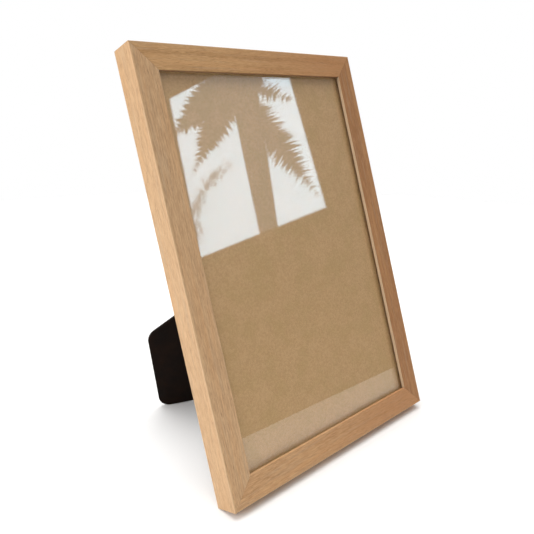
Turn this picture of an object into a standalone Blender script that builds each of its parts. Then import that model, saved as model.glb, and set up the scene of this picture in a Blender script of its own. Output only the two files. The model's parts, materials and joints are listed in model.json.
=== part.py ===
"""Wooden tabletop picture frame for a 20 x 30 cm picture, standing on a diagonal easel leg.

Every rail, sheet and fitting is its own closed body. The frame is modelled upright, with X to the right,
the face at Y = 0 looking towards -Y and Z up the frame. Two empties then place it: "stand" leans the whole
frame back on its rear bottom edge, and "leg_hinge" sits on the hinge pin of the leg. Units are metres.
"""

import math

import bmesh
import bpy
from mathutils import Matrix, Vector

MM = 0.001

# Whole frame
FRAME_W = 231 * MM
FRAME_H = 331 * MM
FRAME_D = 20.5 * MM
LEAN = math.radians(19.0)
STAND_SHIFT = -85.04 * MM
GAP = 0.3 * MM

# Moulding section
FACE_W = 19.5 * MM
LIP_T = 3.0 * MM
REBATE = 4.5 * MM
EASE = 0.5 * MM
EASE_STEPS = 3
WALL_W = FACE_W - REBATE

# Sheets held in the rebate
SHEET_W = FRAME_W - 2 * WALL_W - 2 * GAP
SHEET_H = FRAME_H - 2 * WALL_W - 2 * GAP
GLASS_T = 2.0 * MM
GLASS_FRONT = LIP_T + GAP
BOARD_T = 3.0 * MM
BOARD_FRONT = GLASS_FRONT + GLASS_T + GAP
BOARD_REAR = BOARD_FRONT + BOARD_T

# V-nails across the mitres
VNAIL_LEG = 4.2 * MM
VNAIL_T = 0.45 * MM
VNAIL_DEEP = 7.0 * MM
VNAIL_SINK = 0.2 * MM
VNAIL_PLACES = (5.5 * MM, 11.0 * MM)
VNAIL_SPREAD = math.radians(62)

# Spring-steel points that hold the board
POINT_W = 7.0 * MM
POINT_T = 0.45 * MM
POINT_OUT = 9.0 * MM
POINT_ROOT = 1.2 * MM
POINT_CORNER = 2.0 * MM
POINT_SLOT_FORE = 1.7 * MM
POINT_SIDE_AT = 88 * MM
POINT_END_AT = 52 * MM

# Sawtooth hangers
SAW_L = 44 * MM
SAW_H = 8.5 * MM
SAW_T = 0.8 * MM
SAW_BOW = 1.6 * MM
SAW_TOOTH_L = 2.0 * MM
SAW_TOOTH_H = 1.5 * MM
SAW_TEETH = 11
SAW_NAIL_AT = 18.5 * MM
NAIL_R = 0.6 * MM
NAIL_HEAD_R = 1.5 * MM
NAIL_HEAD_T = 0.6 * MM
NAIL_L = 9.0 * MM

# Easel leg: a tapered board whose foot has one edge for each way of standing
LEG_X = 46.9 * MM
LEG_Z = 177.7 * MM
LEG_TURN = math.radians(41)
LEG_OPEN = math.radians(41.75)
LEG_T = 3.0 * MM
LEG_TOP = 3.2 * MM
LEG_TOP_HALF = 21.6 * MM
LEG_WIDE_HALF = 61.1 * MM
LEG_WIDE_AT = 171.0 * MM
LEG_TIP_AT = 228.4 * MM
LEG_TOP_R = 4 * MM
LEG_WIDE_R = 13 * MM
LEG_TIP_R = 11 * MM

# Hinge between the board and the leg
PIN_R = 0.9 * MM
BORE_R = 1.2 * MM
KNUCKLE_R = 2.2 * MM
HINGE_L = 38 * MM
LEAF_T = 0.8 * MM
BOARD_LEAF_L = 20 * MM
LEG_LEAF_L = 24 * MM
LEAF_R = 4 * MM
KNUCKLE_COUNT = 5
KNUCKLE_SPACE = 0.3 * MM
PIN_HEAD_R = 1.7 * MM
PIN_HEAD_T = 0.8 * MM
TONGUE_W = 5.0 * MM
TONGUE_L = 5.5 * MM
PIN_DEPTH = BOARD_REAR + GAP + KNUCKLE_R

# Rivets of the hinge
RIVET_R = 1.5 * MM
RIVET_HOLE_R = 1.8 * MM
RIVET_HEAD_R = 3.2 * MM
RIVET_HEAD_T = 1.1 * MM
RIVET_BLIND = 2.3 * MM
RIVET_HALF_SPACING = 12 * MM
BOARD_RIVET_AT = -13 * MM
LEG_RIVET_AT = 17 * MM

ROUND_STEPS = 24


# ---------------------------------------------------------------- materials


def principled(name, colour, roughness, metallic=0.0, transmission=0.0):
    """A Principled material, made once for each name."""
    if name in bpy.data.materials:
        return bpy.data.materials[name]
    made = bpy.data.materials.new(name)
    made.use_nodes = True
    made.diffuse_color = (*colour, 1.0)
    shader = made.node_tree.nodes["Principled BSDF"]
    shader.inputs["Base Color"].default_value = (*colour, 1.0)
    shader.inputs["Roughness"].default_value = roughness
    shader.inputs["Metallic"].default_value = metallic
    shader.inputs["Transmission Weight"].default_value = transmission
    return made


def oak(name):
    return principled(name, (0.43, 0.26, 0.14), 0.5)


def clear_glass(name):
    return principled(name, (0.95, 0.98, 0.96), 0.03, transmission=1.0)


def fibreboard(name):
    return principled(name, (0.42, 0.30, 0.17), 0.75)


def black_board(name):
    return principled(name, (0.012, 0.008, 0.007), 0.6)


def zinc_steel(name):
    return principled(name, (0.62, 0.62, 0.60), 0.35, metallic=1.0)


def brass_steel(name):
    return principled(name, (0.66, 0.50, 0.26), 0.32, metallic=1.0)


# ---------------------------------------------------------------- mesh helpers


def new_object(name, mesh_builder, parent, place=None, smooth=False):
    """An object from a bmesh, under an empty, with its origin where `place` puts it."""
    data = bpy.data.meshes.new(name)
    bmesh.ops.recalc_face_normals(mesh_builder, faces=mesh_builder.faces)
    mesh_builder.to_mesh(data)
    mesh_builder.free()
    obj = bpy.data.objects.new(name, data)
    bpy.context.scene.collection.objects.link(obj)
    obj.parent = parent
    obj.matrix_local = place or Matrix.Identity(4)
    if smooth:
        data.shade_smooth()
        data.set_sharp_from_angle(angle=math.radians(35))
    return obj


def add_prism(builder, outline, low, high, to_point):
    """A solid between two copies of a 2-D outline. to_point(a, b, depth) gives each corner."""
    ends = [[builder.verts.new(to_point(a, b, depth)) for a, b in outline] for depth in (low, high)]
    count = len(outline)
    builder.faces.new(ends[0])
    builder.faces.new(list(reversed(ends[1])))
    for i in range(count):
        j = (i + 1) % count
        builder.faces.new((ends[0][i], ends[0][j], ends[1][j], ends[1][i]))


def add_box(builder, low, high):
    outline = ((low[0], low[2]), (high[0], low[2]), (high[0], high[2]), (low[0], high[2]))
    add_prism(builder, outline, low[1], high[1], lambda a, b, depth: Vector((a, depth, b)))


def add_turned(builder, profile, place, steps=ROUND_STEPS):
    """A solid of revolution about the Z axis of `place`, from (radius, height) pairs."""
    rings = []
    for radius, height in profile:
        if radius == 0:
            rings.append([builder.verts.new(place @ Vector((0, 0, height)))])
            continue
        ring = []
        for i in range(steps):
            turn = 2 * math.pi * i / steps
            corner = Vector((radius * math.cos(turn), radius * math.sin(turn), height))
            ring.append(builder.verts.new(place @ corner))
        rings.append(ring)
    for lower, upper in zip(rings, rings[1:]):
        for i in range(steps):
            j = (i + 1) % steps
            if len(lower) == 1:
                builder.faces.new((lower[0], upper[j], upper[i]))
            elif len(upper) == 1:
                builder.faces.new((lower[i], lower[j], upper[0]))
            else:
                builder.faces.new((lower[i], lower[j], upper[j], upper[i]))


def arc(centre, radius, start, end, steps):
    """Points on an arc, angles in radians."""
    turns = (start + (end - start) * i / steps for i in range(steps + 1))
    return [(centre[0] + radius * math.cos(t), centre[1] + radius * math.sin(t)) for t in turns]


def rounded(corners, radii, steps=6):
    """A closed outline with each corner replaced by an arc of its radius."""
    points = []
    count = len(corners)
    for i, (corner, radius) in enumerate(zip(corners, radii)):
        here = Vector(corner)
        back = (Vector(corners[i - 1]) - here).normalized()
        ahead = (Vector(corners[(i + 1) % count]) - here).normalized()
        half = back.angle(ahead) / 2
        centre = here + (back + ahead).normalized() * (radius / math.sin(half))
        start = here + back * (radius / math.tan(half)) - centre
        end = here + ahead * (radius / math.tan(half)) - centre
        first = math.atan2(start.y, start.x)
        sweep = math.atan2(start.x * end.y - start.y * end.x, start.dot(end))
        points += arc(centre, radius, first, first + sweep, steps)
    return points


def cutter(name, mesh_builder, parent):
    """A hidden helper that Boolean modifiers cut with."""
    obj = new_object(name, mesh_builder, parent)
    obj.hide_render = True
    obj.display_type = "WIRE"
    return obj


def combine(obj, other, operation):
    step = obj.modifiers.new(other.name, "BOOLEAN")
    step.operation = operation
    step.solver = "EXACT"
    step.object = other


def dress(obj, material):
    obj.data.materials.append(material)
    return obj


# ---------------------------------------------------------------- placing


def empty(name, place, parent=None):
    obj = bpy.data.objects.new(name, None)
    obj.empty_display_size = 20 * MM
    bpy.context.scene.collection.objects.link(obj)
    obj.parent = parent
    obj.matrix_local = place
    return obj


def side_frame(turn):
    """Bottom-rail space to frame space, for the rail found by turning `turn` about the frame's middle."""
    to_middle = Matrix.Translation((0, 0, FRAME_H / 2))
    across = FRAME_W if round(math.degrees(turn)) % 180 else FRAME_H
    return to_middle @ Matrix.Rotation(turn, 4, "Y") @ Matrix.Translation((0, 0, -across / 2))


SIDES = {
    "bottom": (0.0, FRAME_W),
    "left": (math.radians(90), FRAME_H),
    "top": (math.radians(180), FRAME_W),
    "right": (math.radians(270), FRAME_H),
}


# ---------------------------------------------------------------- rails


def rail_section():
    """The moulding's section as (inward, depth) points, with its three long outer edges eased."""
    turn = math.pi / 2
    points = arc((EASE, EASE), EASE, turn * 2, turn * 3, EASE_STEPS)
    points += arc((FACE_W - EASE, EASE), EASE, turn * 3, turn * 4, EASE_STEPS)
    points += [(FACE_W, LIP_T), (WALL_W, LIP_T), (WALL_W, FRAME_D)]
    points += arc((EASE, FRAME_D - EASE), EASE, turn, turn * 2, EASE_STEPS)
    return points


def vnail_outline(at, grow):
    """A V open towards the outer corner, centred on the mitre, thickened by `grow` on every side."""
    axis = Vector((1, 1)).normalized()
    apex = Vector((at, at))
    half = VNAIL_T / 2 + grow
    arms = [Matrix.Rotation(sign * VNAIL_SPREAD, 2) @ -axis for sign in (1, -1)]
    hollow = apex - axis * (half / math.sin(VNAIL_SPREAD))
    point = apex + axis * (half / math.sin(VNAIL_SPREAD))
    ends = []
    for arm, sign in zip(arms, (1, -1)):
        tip = apex + arm * (VNAIL_LEG + grow)
        across = Vector((-arm.y, arm.x)) * half * sign
        ends.append((tip - across, tip + across))
    (near_hollow, near_point), (far_hollow, far_point) = ends
    return [point, near_point, near_hollow, hollow, far_hollow, far_point]


def add_vnails(builder, length, grow, low, high):
    """The V-nails at the near end of a rail, as prisms through its rear face."""
    for at in VNAIL_PLACES:
        outline = vnail_outline(at, grow)
        corner = -length / 2
        add_prism(builder, outline, low, high, lambda a, b, d: Vector((corner + a, d, b)))


def vnail_slots(builder, length):
    """Slots at both ends of a rail. The far end mirrors the near one."""
    low = FRAME_D - VNAIL_DEEP - VNAIL_SINK - GAP
    add_vnails(builder, length, GAP, low, FRAME_D + MM)
    near = [face for face in builder.faces]
    copied = bmesh.ops.duplicate(builder, geom=near)["geom"]
    verts = [item for item in copied if isinstance(item, bmesh.types.BMVert)]
    bmesh.ops.scale(builder, vec=(-1, 1, 1), verts=verts)


def point_centres(name):
    return (-POINT_END_AT, POINT_END_AT) if name in ("top", "bottom") else (-POINT_SIDE_AT, POINT_SIDE_AT)


def point_depth():
    return BOARD_REAR + GAP + POINT_T / 2


def point_slots(builder, name):
    """Mouths in the rebate wall that the roots of the spring points swing in."""
    half = POINT_W / 2 + GAP
    for x in point_centres(name):
        low = (x - half, point_depth() - POINT_SLOT_FORE, WALL_W - POINT_ROOT - 2 * GAP)
        high = (x + half, point_depth() + POINT_T / 2 + GAP, WALL_W + MM)
        add_box(builder, low, high)


def nail_holes(builder):
    for x in (-SAW_NAIL_AT, SAW_NAIL_AT):
        place = Matrix.Translation((x, FRAME_D + MM, WALL_W / 2)) @ Matrix.Rotation(math.radians(90), 4, "X")
        add_turned(builder, hole_profile(NAIL_R + GAP, NAIL_L + 2 * MM), place)


def hole_profile(radius, length):
    return [(0, 0), (radius, 0), (radius, length), (0, length)]


def rail(name, stand, hangs):
    turn, length = SIDES[name]
    place = side_frame(turn)
    builder = bmesh.new()
    section = rail_section()
    ends = []
    for side in (-1, 1):
        reach = [side * (length / 2 - s - GAP / 2 * math.sqrt(2)) for s, _ in section]
        ends.append([builder.verts.new((x, depth, s)) for x, (s, depth) in zip(reach, section)])
    builder.faces.new(ends[0])
    builder.faces.new(list(reversed(ends[1])))
    for i in range(len(section)):
        j = (i + 1) % len(section)
        builder.faces.new((ends[0][i], ends[0][j], ends[1][j], ends[1][i]))
    obj = new_object(name + "_rail", builder, stand, place, smooth=True)

    cuts = bmesh.new()
    vnail_slots(cuts, length)
    point_slots(cuts, name)
    if hangs:
        nail_holes(cuts)
    slots = cutter(name + "_rail_slots", cuts, stand)
    slots.matrix_local = place
    combine(obj, slots, "DIFFERENCE")
    return dress(obj, oak("oak_" + name))


def vnails(name, stand):
    """The two V-nails of the corner at the near end of a rail."""
    turn, length = SIDES[name]
    for number, at in enumerate(VNAIL_PLACES, 1):
        builder = bmesh.new()
        corner = -length / 2
        low = FRAME_D - VNAIL_DEEP - VNAIL_SINK
        outline = vnail_outline(at, 0)
        add_prism(builder, outline, low, FRAME_D - VNAIL_SINK, lambda a, b, d: Vector((corner + a, d, b)))
        obj = new_object(f"vnail_{CORNER_OF[name]}_{number}", builder, stand, side_frame(turn))
        dress(obj, zinc_steel("vnail_steel"))


CORNER_OF = {"bottom": "bottom_left", "left": "top_left", "top": "top_right", "right": "bottom_right"}


# ---------------------------------------------------------------- sheets


def sheet(name, front, thick, stand, material, edge):
    """A pane or board in the rebate, its corners and long edges just broken."""
    builder = bmesh.new()
    middle = FRAME_H / 2
    low = (-SHEET_W / 2, front, middle - SHEET_H / 2)
    high = (SHEET_W / 2, front + thick, middle + SHEET_H / 2)
    add_box(builder, low, high)
    bmesh.ops.bevel(builder, geom=list(builder.edges), offset=edge, segments=1, affect="EDGES")
    return dress(new_object(name, builder, stand), material)


# ---------------------------------------------------------------- spring points


def spring_point(name, number, x, stand):
    """A flat steel point, its origin on the line where it leaves the rebate wall."""
    turn, _ = SIDES[name]
    builder = bmesh.new()
    half = POINT_W / 2
    corners = ((-half, -POINT_ROOT), (half, -POINT_ROOT), (half, POINT_OUT), (-half, POINT_OUT))
    outline = rounded(corners, (0.3 * MM, 0.3 * MM, POINT_CORNER, POINT_CORNER), 4)
    add_prism(builder, outline, -POINT_T / 2, POINT_T / 2, lambda a, b, d: Vector((a, d, b)))
    place = side_frame(turn) @ Matrix.Translation((x, point_depth(), WALL_W))
    obj = new_object(f"spring_point_{name}_{number}", builder, stand, place)
    return dress(obj, zinc_steel("point_steel"))


# ---------------------------------------------------------------- sawtooth hangers


def saw_rise(x):
    """How far the strip stands off the rail, flat at the nails and bowed between them."""
    flat = SAW_NAIL_AT - NAIL_HEAD_R - 2 * MM
    return SAW_BOW * min(1.0, max(0.0, (flat - abs(x)) / (4 * MM)))


def saw_hanger(name, stand):
    turn, _ = SIDES[name]
    builder = bmesh.new()
    half_run = SAW_TEETH * SAW_TOOTH_L / 2
    stations = [-SAW_L / 2, -SAW_NAIL_AT + 3.6 * MM]
    stations += [-half_run + i * SAW_TOOTH_L / 2 for i in range(2 * SAW_TEETH + 1)]
    stations += [SAW_NAIL_AT - 3.6 * MM, SAW_L / 2]
    rows = []
    for i, x in enumerate(stations):
        toothed = abs(x) < half_run - MM / 10 and i % 2 == 1
        notch = SAW_TOOTH_H if toothed else 0.0
        near = FRAME_D + GAP + saw_rise(x)
        far = near + SAW_T
        low = WALL_W / 2 - SAW_H / 2
        high = WALL_W / 2 + SAW_H / 2 - notch
        rows.append([builder.verts.new(c) for c in ((x, near, low), (x, far, low), (x, far, high), (x, near, high))])
    builder.faces.new(rows[0])
    builder.faces.new(list(reversed(rows[-1])))
    for one, two in zip(rows, rows[1:]):
        for i in range(4):
            j = (i + 1) % 4
            builder.faces.new((one[i], one[j], two[j], two[i]))
    obj = new_object(f"{name}_hanger", builder, stand, side_frame(turn))
    cuts = bmesh.new()
    nail_holes(cuts)
    holes = cutter(f"{name}_hanger_holes", cuts, stand)
    holes.matrix_local = side_frame(turn) @ Matrix.Translation((0, 2 * MM, 0))
    combine(obj, holes, "DIFFERENCE")
    return dress(obj, brass_steel("hanger_steel"))


def hanger_nails(name, stand):
    turn, _ = SIDES[name]
    head_at = FRAME_D + 2 * GAP + SAW_T
    for number, x in enumerate((-SAW_NAIL_AT, SAW_NAIL_AT), 1):
        builder = bmesh.new()
        place = Matrix.Translation((x, head_at, WALL_W / 2)) @ Matrix.Rotation(math.radians(90), 4, "X")
        profile = [
            (0, -NAIL_HEAD_T),
            (NAIL_HEAD_R * 0.7, -NAIL_HEAD_T),
            (NAIL_HEAD_R, -NAIL_HEAD_T * 0.4),
            (NAIL_HEAD_R, 0),
            (NAIL_R, 0),
            (NAIL_R, NAIL_L - MM),
            (0, NAIL_L),
        ]
        add_turned(builder, profile, place, 16)
        obj = new_object(f"{name}_hanger_nail_{number}", builder, stand, side_frame(turn), smooth=True)
        dress(obj, brass_steel("hanger_steel"))


# ---------------------------------------------------------------- leg and hinge


def leg_outline():
    """Half widths and distances from the pin: narrow at the hinge, widest above the pointed foot."""
    corners = (
        (-LEG_TOP_HALF, LEG_TOP),
        (LEG_TOP_HALF, LEG_TOP),
        (LEG_WIDE_HALF, LEG_WIDE_AT),
        (0.0, LEG_TIP_AT),
        (-LEG_WIDE_HALF, LEG_WIDE_AT),
    )
    radii = (LEG_TOP_R, LEG_TOP_R, LEG_WIDE_R, LEG_TIP_R, LEG_WIDE_R)
    return rounded(corners, radii, 8)


def leg_rear():
    """Distance from the pin's axis to the leg's rear face, which the leg's leaf lies on."""
    return KNUCKLE_R - LEAF_T - GAP


def easel_leg(leg):
    """In hinge space X runs along the pin, -Z down the leg and +Y behind it."""
    builder = bmesh.new()
    low = leg_rear() - LEG_T
    add_prism(builder, leg_outline(), low, leg_rear(), lambda a, b, d: Vector((a, d, -b)))
    obj = new_object("easel_leg", builder, leg)
    cuts = bmesh.new()
    rivet_holes(cuts, LEG_RIVET_AT, low - MM)
    combine(obj, cutter("easel_leg_holes", cuts, leg), "DIFFERENCE")
    return dress(obj, black_board("leg_board"))


def rivet_holes(builder, at, start):
    for x in (-RIVET_HALF_SPACING, RIVET_HALF_SPACING):
        place = Matrix.Translation((x, start, -at)) @ Matrix.Rotation(math.radians(-90), 4, "X")
        add_turned(builder, hole_profile(RIVET_HOLE_R, 8 * MM), place, 20)


def knuckle_span(index):
    """The ends of one knuckle along the pin, leaving running space to its neighbours."""
    each = HINGE_L / KNUCKLE_COUNT
    start = -HINGE_L / 2 + index * each
    low = start + (KNUCKLE_SPACE / 2 if index else 0)
    high = start + each - (KNUCKLE_SPACE / 2 if index < KNUCKLE_COUNT - 1 else 0)
    return low, high


def along_pin(low):
    return Matrix.Translation((low, 0, 0)) @ Matrix.Rotation(math.radians(90), 4, "Y")


def hinge_leaf(name, parent, plate_low, plate_high, length, sign, knuckles, rivet_at, tongue_turn=None):
    """A plate with its knuckles, bored for the pin. `sign` is +1 where the plate runs up from the pin."""
    body = bmesh.new()
    corners = ((-HINGE_L / 2, 0), (HINGE_L / 2, 0), (HINGE_L / 2, length), (-HINGE_L / 2, length))
    outline = rounded(corners, (0.2 * MM, 0.2 * MM, LEAF_R, LEAF_R), 6)
    add_prism(body, outline, plate_low, plate_high, lambda a, b, d: Vector((a, d, sign * b)))
    obj = new_object(name, body, parent)

    barrels = bmesh.new()
    for index in knuckles:
        low, high = knuckle_span(index)
        add_turned(barrels, hole_profile(KNUCKLE_R, high - low), along_pin(low))
    combine(obj, cutter(name + "_barrels", barrels, parent), "UNION")

    if tongue_turn is not None:
        tongue = bmesh.new()
        low = (-TONGUE_W / 2, plate_low_of_tongue(), 0)
        high = (TONGUE_W / 2, plate_low_of_tongue() + LEAF_T, TONGUE_L)
        for x in knuckle_middles(knuckles):
            add_box(tongue, (low[0] + x, low[1], low[2]), (high[0] + x, high[1], high[2]))
        bmesh.ops.transform(tongue, matrix=Matrix.Rotation(tongue_turn, 4, "X"), verts=tongue.verts)
        combine(obj, cutter(name + "_tongues", tongue, parent), "UNION")

    away = bmesh.new()
    add_turned(away, hole_profile(BORE_R, HINGE_L + 4 * MM), along_pin(-HINGE_L / 2 - 2 * MM))
    combine(obj, cutter(name + "_bore", away, parent), "DIFFERENCE")

    spaces = bmesh.new()
    reach = KNUCKLE_R + GAP
    for index in range(KNUCKLE_COUNT):
        if index not in knuckles:
            low, high = knuckle_span(index)
            box_low = (low - KNUCKLE_SPACE, -reach - MM, -reach)
            box_high = (high + KNUCKLE_SPACE, reach + MM, reach)
            add_box(spaces, box_low, box_high)
    rivet_holes(spaces, rivet_at, -4 * MM)
    combine(obj, cutter(name + "_spaces", spaces, parent), "DIFFERENCE")
    return obj


def plate_low_of_tongue():
    """The tongues bear on the board's leaf, so they lie just behind it when the leg is open."""
    return -KNUCKLE_R + LEAF_T + GAP


def knuckle_middles(knuckles):
    return [sum(knuckle_span(index)) / 2 for index in knuckles]


def board_leaf(hinge):
    """Space of the closed hinge: its plate lies against the board, above the pin."""
    low = -KNUCKLE_R
    obj = hinge_leaf("hinge_board_leaf", hinge, low, low + LEAF_T, BOARD_LEAF_L, 1, (0, 2, 4), BOARD_RIVET_AT)
    return dress(obj, zinc_steel("hinge_steel"))


def leg_leaf(leg):
    """Its plate lies on the leg's rear face. Two tongues behind the knuckles stop the leg when it is open."""
    low = KNUCKLE_R - LEAF_T
    obj = hinge_leaf("hinge_leg_leaf", leg, low, low + LEAF_T, LEG_LEAF_L, -1, (1, 3), LEG_RIVET_AT, -LEG_OPEN)
    return dress(obj, zinc_steel("hinge_steel"))


def hinge_pin(hinge):
    builder = bmesh.new()
    half = HINGE_L / 2
    reach = half + GAP
    profile = [
        (0, -reach - PIN_HEAD_T),
        (PIN_HEAD_R * 0.75, -reach - PIN_HEAD_T),
        (PIN_HEAD_R, -reach - PIN_HEAD_T * 0.6),
        (PIN_HEAD_R, -reach),
        (PIN_R, -reach),
        (PIN_R, reach),
        (PIN_HEAD_R, reach),
        (PIN_HEAD_R, reach + PIN_HEAD_T * 0.6),
        (PIN_HEAD_R * 0.75, reach + PIN_HEAD_T),
        (0, reach + PIN_HEAD_T),
    ]
    add_turned(builder, profile, along_pin(0))
    return dress(new_object("hinge_pin", builder, hinge, smooth=True), zinc_steel("pin_steel"))


def rivets(prefix, parent, at, seat, shank, foot_r):
    """Domed rivets in a leaf. `seat` is the leaf's rear face and `shank` reaches forward from it."""
    for number, x in enumerate((-RIVET_HALF_SPACING, RIVET_HALF_SPACING), 1):
        builder = bmesh.new()
        place = Matrix.Translation((x, seat + GAP, -at)) @ Matrix.Rotation(math.radians(-90), 4, "X")
        dome = [
            (RIVET_R, 0),
            (RIVET_HEAD_R, 0),
            (RIVET_HEAD_R, 0.3 * RIVET_HEAD_T),
            (0.86 * RIVET_HEAD_R, 0.68 * RIVET_HEAD_T),
            (0.5 * RIVET_HEAD_R, 0.93 * RIVET_HEAD_T),
            (0, RIVET_HEAD_T),
        ]
        if foot_r:
            foot = [(0, -shank - LEAF_T), (foot_r, -shank - LEAF_T), (foot_r, -shank), (RIVET_R, -shank)]
        else:
            foot = [(0, -shank), (RIVET_R * 0.8, -shank), (RIVET_R, -shank + 0.3 * MM)]
        add_turned(builder, foot + dome, place)
        obj = new_object(f"{prefix}_rivet_{number}", builder, parent, smooth=True)
        dress(obj, zinc_steel("rivet_steel"))


# ---------------------------------------------------------------- assembly


def build():
    for obj in list(bpy.data.objects):
        bpy.data.objects.remove(obj, do_unlink=True)

    lift = (FRAME_D - EASE) * math.sin(LEAN) + EASE * (1 - math.cos(LEAN))
    stand = empty("stand", Matrix.Translation((0, STAND_SHIFT, lift)) @ Matrix.Rotation(-LEAN, 4, "X"))
    for name in SIDES:
        rail(name, stand, hangs=name in ("top", "right"))
        vnails(name, stand)
        for number, x in enumerate(point_centres(name), 1):
            spring_point(name, number, x, stand)
    for name in ("top", "right"):
        saw_hanger(name, stand)
        hanger_nails(name, stand)

    sheet("glass_pane", GLASS_FRONT, GLASS_T, stand, clear_glass("clear_glass"), 0.25 * MM)
    board = sheet("backing_board", BOARD_FRONT, BOARD_T, stand, fibreboard("fibreboard"), 0.15 * MM)

    pin_place = Matrix.Translation((LEG_X, PIN_DEPTH, LEG_Z)) @ Matrix.Rotation(LEG_TURN, 4, "Y")
    hinge = empty("hinge", pin_place, stand)
    leg = empty("leg_hinge", Matrix.Rotation(LEG_OPEN, 4, "X"), hinge)
    blind = bmesh.new()
    rivet_holes(blind, BOARD_RIVET_AT, -KNUCKLE_R - GAP - RIVET_BLIND - GAP)
    combine(board, cutter("backing_board_holes", blind, hinge), "DIFFERENCE")

    board_leaf(hinge)
    hinge_pin(hinge)
    rivets("board", hinge, BOARD_RIVET_AT, LEAF_T - KNUCKLE_R, LEAF_T + 2 * GAP + RIVET_BLIND, None)
    leg_leaf(leg)
    easel_leg(leg)
    rivets("leg", leg, LEG_RIVET_AT, KNUCKLE_R, LEAF_T + LEG_T + 3 * GAP, RIVET_HEAD_R * 0.8)


build()
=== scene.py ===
# %% [markdown]
# # A wooden tabletop picture frame on an easel leg
# The solids of the frame come in as a fixed skeleton. Each cell below makes one piece or one finish
# of the real object around it, with the detail that a solid for physics leaves out.

# %% Load the frame
import json
import math

import bmesh
import bpy
from mathutils import Matrix, Vector


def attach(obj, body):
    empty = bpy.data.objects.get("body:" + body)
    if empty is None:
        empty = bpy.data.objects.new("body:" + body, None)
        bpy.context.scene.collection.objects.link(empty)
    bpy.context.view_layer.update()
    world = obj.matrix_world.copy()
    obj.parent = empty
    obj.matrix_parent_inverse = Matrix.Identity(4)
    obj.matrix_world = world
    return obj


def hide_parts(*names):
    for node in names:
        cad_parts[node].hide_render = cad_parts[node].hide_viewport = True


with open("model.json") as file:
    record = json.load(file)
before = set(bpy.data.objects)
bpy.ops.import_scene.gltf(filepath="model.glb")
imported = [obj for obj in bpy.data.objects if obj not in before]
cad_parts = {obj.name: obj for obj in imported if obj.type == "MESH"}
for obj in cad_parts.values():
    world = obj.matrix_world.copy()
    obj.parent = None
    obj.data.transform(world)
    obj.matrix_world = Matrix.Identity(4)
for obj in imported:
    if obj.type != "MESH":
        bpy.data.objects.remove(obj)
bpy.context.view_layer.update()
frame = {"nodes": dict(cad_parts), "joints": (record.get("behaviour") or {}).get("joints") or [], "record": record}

MM = 0.001

# %% [markdown]
# ## The leaning axes
# The frame leans back on its rear edge, so its own axes are turned from the room's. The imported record
# says which way its underside faces, and that gives the lean. Every node is then measured along the
# leaning axes: x across the face, y from the face to the back, z up the frame.

# %% Measure the frame along its own axes
underside = next(m for m in frame["record"]["mounts"] if m["name"] == "base_face")["axis"]
LEAN = math.atan2(-underside[1], -underside[2])
tilt = Matrix.Rotation(-LEAN, 4, "X")
RAILS = ("bottom", "left", "top", "right")


def extent(*nodes):
    """Lowest and highest corner of some nodes along the leaning axes, from the room's origin."""
    points = [tilt.inverted() @ v.co for n in nodes for v in frame["nodes"][n].data.vertices]
    low = Vector(min(p[i] for p in points) for i in range(3))
    high = Vector(max(p[i] for p in points) for i in range(3))
    return low, high


rails_low, rails_high = extent(*(side + "_rail" for side in RAILS))
corner = Vector(((rails_low.x + rails_high.x) / 2, rails_low.y, rails_low.z))
stand = tilt @ Matrix.Translation(corner)
WIDTH, DEPTH, HEIGHT = rails_high - rails_low
print(f"lean {math.degrees(LEAN):.2f} degrees")
print("frame", " x ".join(f"{v / MM:.1f}" for v in (WIDTH, HEIGHT, DEPTH)), "mm")


def measured(node):
    """Lowest and highest corner of a node, from the middle of the frame's lower front edge."""
    low, high = extent(node)
    return low - corner, high - corner


glass_low, glass_high = measured("glass_pane")
board_low, board_high = measured("backing_board")
FACE = measured("left_rail")[1].x + WIDTH / 2
PLAY = 0.3 * MM
WALL = glass_low.x + WIDTH / 2 - PLAY
LIP = glass_low.y - PLAY
print(f"face {FACE / MM:.1f}, wall {WALL / MM:.1f}, lip {LIP / MM:.1f} mm")

# %% [markdown]
# ## Where the camera stands
# The frame is seen from its left and a little above, close enough for its top to lean away. The
# camera's place is in metres and its lens in millimetres. Its turn is two directions: the one that it
# has its back to, and the one that is up for it.

# %% Camera
CAMERA_AT = Vector((-0.33457, -0.34515, 0.28580))
CAMERA_BACK = Vector((-0.66013, -0.69541, 0.28396))
CAMERA_UP = Vector((0.18874, 0.21234, 0.95880))
LENS = 39.42


def linked(name, data):
    """A new object in the scene."""
    made = bpy.data.objects.new(name, data)
    bpy.context.scene.collection.objects.link(made)
    return made


camera = linked("camera", bpy.data.cameras.new("camera"))
camera.data.lens, camera.data.sensor_width = LENS, 36
camera.data.clip_start, camera.data.clip_end = 0.01, 50
camera_right = CAMERA_UP.cross(CAMERA_BACK)
camera.matrix_world = Matrix.Translation(CAMERA_AT) @ Matrix(
    (camera_right, CAMERA_UP, CAMERA_BACK)).transposed().to_4x4()
bpy.context.scene.camera = camera
bpy.context.scene.view_settings.view_transform = "Standard"
print("camera at", tuple(round(c, 3) for c in CAMERA_AT))

# %% [markdown]
# ## Nodes written as sums
# A material or a shape rule is easier to read as a formula than as a wall of node calls. `Wire` is one
# socket, and adding or multiplying wires adds the Math nodes. `Net` adds any other node in one call.

# %% Wire and Net
def socket_named(sockets, key):
    if isinstance(key, int):
        return sockets[key]
    return next(s for s in sockets if s.name == key and s.enabled)


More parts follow.
